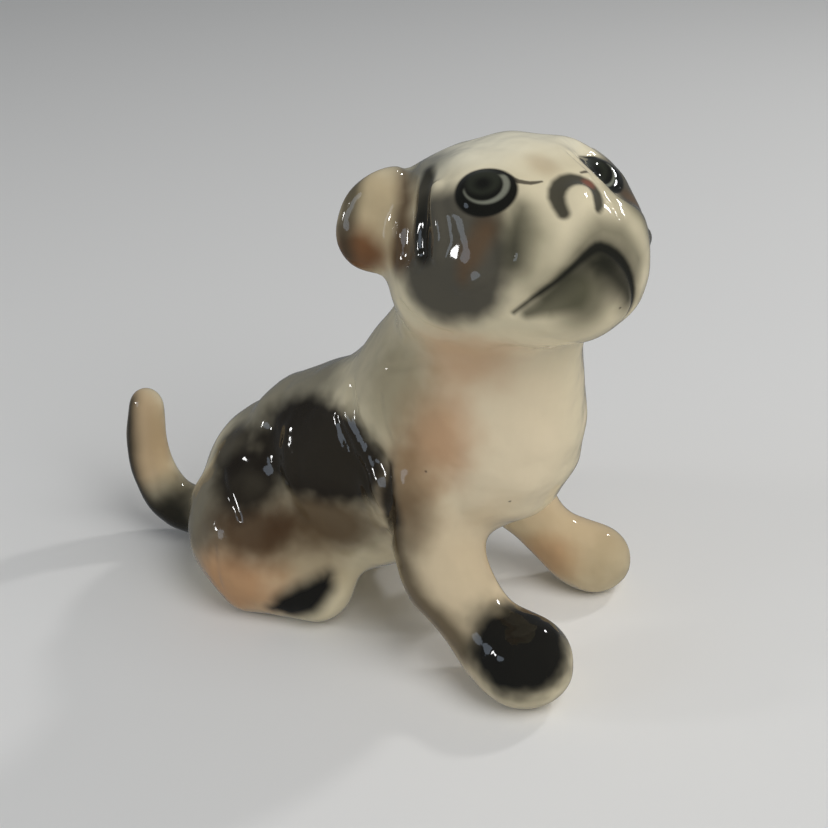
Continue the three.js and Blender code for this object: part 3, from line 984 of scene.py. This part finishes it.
def drawn(tree, under, place, wander, line, to_local):
    """One line of the pointed brush. Its places are pulled onto the clay, so that the whole width shows."""
    route, soft, ragged, strength, colour = line
    smooth = curve(route, 2 if soft < FINE_LINE else 1)
    smooth[:, :3] = to_local(smooth[:, :3])
    gap = FAR_OFF
    for a, b in zip(smooth, smooth[1:]):
        stretch = {"Place": place, "From": a[:3], "To": b[:3], "Start": a[3], "End": b[3], "So Far": gap}
        gap = put(tree, "Group", stretch, node_tree=BRUSH).outputs[0]
    settings = {"Gap": gap, "Soft": soft, "Ragged": ragged, "Wander": wander, "Strength": strength}
    return blended(tree, put(tree, "Group", settings, node_tree=BRUSH_EDGE).outputs[0], under, colour)


def onto_head(points):
    """Places in the head's own frame, moved straight onto the clay."""
    return (onto(face(points)) - HEAD_CENTRE) @ HEAD_AXES


PAINT, _, given = new_group("puppy paint", "", "Color Color, Vector Body, Float Wander")
place = put(PAINT, "Group", node_tree=PLACES).outputs
shade = CREAM
steps = (
    (FLANK_HAZES, FLANK_LINES, place["Both Flanks"], onto),
    (BODY_HAZES, [], place["Body"], onto),
    (CHEEK_HAZES, CHEEK_LINES, place["Both Cheeks"], onto_head),
    (HEAD_HAZES, HEAD_LINES, place["Head"], onto_head),
    (NOSE_REFLECTION_HAZES, [], place["Head"], onto_head),
)
for hazes, lines, where, to_local in steps:
    for haze in hazes:
        shade = touch(PAINT, shade, where, place["Wander"], haze)
    for line in lines:
        shade = drawn(PAINT, shade, where, place["Wander"], line, to_local)
eyes = put(PAINT, "Group", {"Cheek": place["Both Cheeks"]}, node_tree=EYE).outputs
shade = blended(PAINT, eyes["Mask"], shade, eyes["Color"])
for label, value in (("Color", shade), ("Body", place["Body"]), ("Wander", place["Wander"])):
    PAINT.links.new(value, given[label])
print("paint laid in", len(PAINT.nodes), "nodes")

# %% [markdown]
# ## Glaze
# A clear glaze is glass: mirror-smooth, but never flat. It ripples where it ran, and it keeps pinholes
# where gas came out. The ripple is a slight bump, because the reflections show it and the outline
# doesn't. The same group serves every piece, and each slot has its own depth of ripple and number of
# pinholes.

# %% Ripples and pinholes
MIRROR = 0.035  # the roughness of the smoothest glaze
PINHOLE_EDGE = (0.02, 0.055)  # in cells, from the middle of a pinhole to its rim
PINHOLE_DEPTH = 0.12  # mm
PINHOLE_DARK = ink(60, 48, 34)
GLAZE, take, given = new_group(
    "kiln glaze",
    "Vector Place, Color Paint, Float Ripple, Float Pinholes",
    "Color Color, Float Roughness, Float Height",
)
broad = put(GLAZE, "TexNoise", {"Vector": take["Place"], "Scale": 0.35, "Detail": 1.0}).outputs[0]
narrow = put(GLAZE, "TexNoise", {"Vector": take["Place"], "Scale": 1.4, "Detail": 2.0}).outputs[0]
mixed = maths(GLAZE, "MULTIPLY_ADD", narrow, 0.04, broad)
cells = put(GLAZE, "TexVoronoi", {"Vector": take["Place"], "Scale": 0.22, "Randomness": 1.0})
chosen = put(GLAZE, "SeparateColor", {0: cells.outputs["Color"]}).outputs[0]
kept = maths(GLAZE, "LESS_THAN", chosen, take["Pinholes"])
pit = maths(GLAZE, "MULTIPLY", faded(GLAZE, cells.outputs["Distance"], *PINHOLE_EDGE, 1.0, 0.0), kept)
height = maths(GLAZE, "MULTIPLY", mixed, take["Ripple"])
GLAZE.links.new(maths(GLAZE, "MULTIPLY_ADD", pit, -PINHOLE_DEPTH, height), given["Height"])
# each pinhole is painted darker towards its middle
pit_darkening = maths(GLAZE, "MULTIPLY", pit, 0.6)
GLAZE.links.new(blended(GLAZE, pit_darkening, take["Paint"], PINHOLE_DARK), given["Color"])
matt = maths(GLAZE, "MULTIPLY_ADD", narrow, 0.05, MIRROR)
GLAZE.links.new(maths(GLAZE, "MULTIPLY_ADD", pit, 0.4, matt), given["Roughness"])
print("glaze mixed from", len(GLAZE.nodes), "nodes")

# %% A glaze for each slot, and the fixed calls that place the pieces
GLAZE_OF = {
    "torso_glaze": (0.26, 0.10), "head_glaze": (0.2, 0.06), "ear_glaze": (0.2, 0.06),
    "foreleg_glaze": (0.3, 0.16), "hind_leg_glaze": (0.26, 0.10), "tail_glaze": (0.2, 0.08),
}  # ripple in mm, and the share of cells with a pinhole
GLAZE_IOR = 1.4


def glazed(slot):
    """A material for one slot: the shared paint under this slot's glaze."""
    ripple, pinholes = GLAZE_OF[slot]
    material = bpy.data.materials.new(slot)
    material.use_nodes = True
    tree = material.node_tree
    shader = tree.nodes["Principled BSDF"]
    paint = put(tree, "Group", node_tree=PAINT).outputs
    settings = {"Place": paint["Body"], "Paint": paint["Color"], "Ripple": ripple, "Pinholes": pinholes}
    glaze = put(tree, "Group", settings, node_tree=GLAZE).outputs
    bump = put(tree, "Bump", {"Height": glaze["Height"], "Distance": MM, "Strength": 1.0})
    tree.links.new(glaze["Color"], shader.inputs["Base Color"])
    tree.links.new(glaze["Roughness"], shader.inputs["Roughness"])
    tree.links.new(bump.outputs[0], shader.inputs["Normal"])
    shader.inputs["IOR"].default_value = GLAZE_IOR
    return material


slots = {p["node"]: p["material_slot"] for p in frame["record"]["subparts"]}
glazes = {slot: glazed(slot) for slot in sorted(set(slots.values()))}
for name, obj in pieces.items():
    obj.data.materials.clear()
    obj.data.materials.append(glazes[slots[name]])
    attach(obj, "root")
    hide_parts(name)
print("glazed:", ", ".join(glazes))

# %% [markdown]
# ## The table and the light
# The table is plain pale paper, and two large soft lamps light it from above and in front. A glaze
# mirrors whatever is bright round it, so a large lamp or a pale floor would lay a grey veil over the
# black paint. Those are kept out of mirror reflections. Three smaller lamps stand behind and beside the
# puppy for the glints: two are small, for sharp ones, and the third is wider and bluish, like a window
# pane.

# %% Floor
HALF = 3.0  # metres from the middle of the floor to each edge
PAPER_COLOUR = (0.84, 0.83, 0.81, 1)
PAPER_ROUGHNESS = 0.9
floor_mesh = bpy.data.meshes.new("floor")
corners = [(-HALF, -HALF, 0), (HALF, -HALF, 0), (HALF, HALF, 0), (-HALF, HALF, 0)]
floor_mesh.from_pydata(corners, [], [(0, 1, 2, 3)])
floor = bpy.data.objects.new("floor", floor_mesh)
bpy.context.scene.collection.objects.link(floor)
paper = bpy.data.materials.new("paper")
paper.use_nodes = True
paper_shader = paper.node_tree.nodes["Principled BSDF"]
paper_shader.inputs["Base Color"].default_value = PAPER_COLOUR
paper_shader.inputs["Roughness"].default_value = PAPER_ROUGHNESS
floor_mesh.materials.append(paper)
floor.visible_glossy = False  # the glaze mirrors a dim room, and the blacks stay black
print("floor laid,", 2 * HALF, "m wide")


# %% Lights
def softbox(name, azimuth, elevation, distance, size, watts, colour=(1, 1, 1), mirrored=True):
    """A round lamp aimed at the middle of the figure. The glaze mirrors it, or it only fills shadows."""
    a, e = math.radians(azimuth), math.radians(elevation)
    towards = Vector((math.sin(a) * math.cos(e), -math.cos(a) * math.cos(e), math.sin(e)))
    lamp = bpy.data.lights.new(name, "AREA")
    lamp.shape = "DISK"
    lamp.size = size
    lamp.energy = watts
    lamp.color = colour
    light = bpy.data.objects.new(name, lamp)
    light.location = AIM * MM + towards * distance
    light.rotation_euler = (-towards).to_track_quat("-Z", "Y").to_euler()
    light.visible_glossy = mirrored
    bpy.context.scene.collection.objects.link(light)


softbox("sky", -15, 52, 0.6, 0.5, 2.1, mirrored=False)
softbox("front", -40, 8, 0.6, 0.7, 0.5, mirrored=False)
softbox("key", 66, 38, 0.5, 0.045, 0.4)
softbox("window", -146, 14, 0.45, 0.05, 0.25)
softbox("pane", -128, 18, 0.6, 0.2, 0.28, colour=(0.72, 0.84, 1))
ROOM_COLOUR = (0.9, 0.95, 1.0, 1)
ROOM_STRENGTH = 0.17
world = bpy.data.worlds.new("room")
world.use_nodes = True
room = world.node_tree.nodes["Background"]
room.inputs["Color"].default_value = ROOM_COLOUR
room.inputs["Strength"].default_value = ROOM_STRENGTH
bpy.context.scene.world = world
bpy.context.scene.view_settings.view_transform = "Standard"  # shows the painter's colours as mixed
print("lamps:", ", ".join(lamp.name for lamp in bpy.data.lights))
